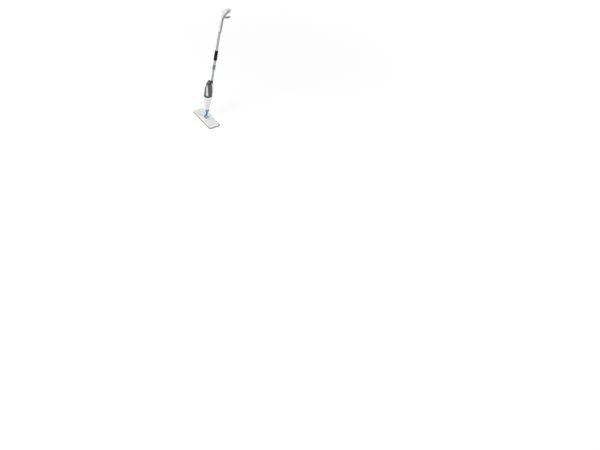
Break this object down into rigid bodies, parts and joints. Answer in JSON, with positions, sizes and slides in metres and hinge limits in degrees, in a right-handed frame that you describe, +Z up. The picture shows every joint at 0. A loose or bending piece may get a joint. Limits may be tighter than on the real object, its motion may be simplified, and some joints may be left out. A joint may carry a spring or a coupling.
{
  "type": "spray mop",
  "caption": "Stick spray mop: flat rectangular pad head on a universal joint, lift-off smoked water tank, nozzle, slim two-piece tube and curved handle with squeeze lever.",
  "frame": {"origin": "centre of the pad's underside, on the floor", "axes": "+Z up, +X along the head's long side, +Y to the user, -Y the front, where the water is sprayed; the stick leans back towards +Y"},
  "size_m": [0.4, 0.4117, 1.142],
  "materials": {
    "white_shell": "warm white moulded shell",
    "handle_grey": "mid grey moulding",
    "lever_blue": "teal blue moulding",
    "neck_blue": "brighter blue moulding",
    "yoke_blue": "blue moulding",
    "fork_grey": "blue grey moulding",
    "tube_grey": "grey lacquered tube",
    "dark_plastic": "dark grey moulding",
    "smoked_clear": "smoked clear plastic",
    "black_foam": "fine closed-cell foam",
    "head_white": "cream white moulding",
    "panel_grey": "light grey panel",
    "microfibre": "looped pile",
    "edge_binding": "grey woven binding",
    "hook_tape": "hook tape",
    "moulded_inner": "natural moulding",
    "rubber_black": "black rubber",
    "hose_clear": "translucent hose",
    "nozzle_brass": "turned jet",
    "steel": "plain steel",
    "rod_metal": "drawn rod"
  },
  "bodies": {
    "stick": {"handle_front": "white_shell", "handle_rear": "handle_grey", "handle_screws": "steel", "hang_eyelet": "white_shell", "trigger_pin": "steel", "handle_ferrule": "handle_grey", "upper_tube": "tube_grey", "foam_grip": "black_foam", "rod_guides": "moulded_inner", "rod_spring": "steel", "coupler": "lever_blue", "button_leaf": "steel", "lower_tube": "tube_grey", "tube_collar": "dark_plastic", "body_front_shell": "white_shell", "body_rear_shell": "white_shell", "body_screws": "steel", "tank_seat": "white_shell", "pump_cylinder": "moulded_inner", "pump_cap": "moulded_inner", "pump_spring": "steel", "pump_valves": "rubber_black", "suction_hose": "hose_clear", "delivery_hose": "hose_clear", "nozzle_body": "white_shell", "nozzle_tip": "nozzle_brass", "neck_fork": "fork_grey", "upper_pin": "steel", "upper_pin_caps": "fork_grey"},
    "trigger": {"trigger": "lever_blue"},
    "push_rod": {"lower_rod": "rod_metal", "upper_rod": "rod_metal", "rod_sleeve": "moulded_inner", "rod_cap": "moulded_inner", "pump_piston": "moulded_inner", "piston_ring": "rubber_black"},
    "coupler_button": {"coupler_button": "lever_blue"},
    "tank": {"tank_body": "smoked_clear", "tank_hood": "dark_plastic", "tank_base": "dark_plastic", "air_valve": "dark_plastic"},
    "tank_cap": {"tank_cap": "moulded_inner", "cap_seal": "rubber_black", "spigot_ring": "rubber_black", "valve_spring": "steel"},
    "tank_valve": {"valve_stem": "moulded_inner"},
    "neck": {"neck_link": "neck_blue"},
    "head": {"head_yoke": "yoke_blue", "yoke_screws": "steel", "lower_pin": "steel", "lower_pin_caps": "yoke_blue", "head_top": "head_white", "head_tray": "head_white", "head_panels": "panel_grey", "head_screws": "steel", "hook_strips": "hook_tape", "mop_pad": "microfibre", "pad_binding": "edge_binding"}
  },
  "joints": [
    {"name": "neck_roll", "type": "hinge", "parent": "stick", "child": "neck", "pos_m": [0, 0.01434, 0.09429], "axis": [0, 0.972, -0.2351], "range_deg": [-60, 60]},
    {"name": "neck_pitch", "type": "hinge", "parent": "neck", "child": "head", "pos_m": [0, 0, 0.035], "axis": [1, 0, 0], "range_deg": [-73.6, 61.4]},
    {"name": "trigger_pull", "type": "hinge", "parent": "stick", "child": "trigger", "pos_m": [0, 0.26624, 1.06323], "axis": [1, 0, 0], "range_deg": [0, 20], "stiffness_Nm_per_rad": 0.12, "springref_deg": -33.8},
    {"name": "push_rod_slide", "type": "slide", "parent": "stick", "child": "push_rod", "axis": [0, -0.2351, -0.972], "range_m": [0, 0.0065], "deforming": ["rod_spring", "pump_spring"]},
    {"name": "coupler_button_press", "type": "slide", "parent": "stick", "child": "coupler_button", "axis": [0, -0.972, 0.2351], "range_m": [0, 0.0035], "stiffness_N_per_m": 300, "springref_m": -0.004, "deforming": ["button_leaf"]},
    {"name": "tank_lift", "type": "slide", "parent": "stick", "child": "tank", "axis": [0, 0.0279, 0.9996], "range_m": [0, 0.06]},
    {"name": "tank_cap_turn", "type": "hinge", "parent": "tank", "child": "tank_cap", "pos_m": [0, 0.02057, 0.26303], "axis": [0, 0.0279, 0.9996], "range_deg": [0, 90]},
    {"name": "tank_valve_slide", "type": "slide", "parent": "tank_cap", "child": "tank_valve", "axis": [0, 0.0279, 0.9996], "range_m": [-0.003, 0], "deforming": ["valve_spring"]}
  ],
  "couplings": [
    {"joint": "push_rod_slide", "follows": "trigger_pull", "m_per_rad": 0.017},
    {"joint": "tank_valve_slide", "follows": "tank_lift", "ratio": -0.05}
  ]
}
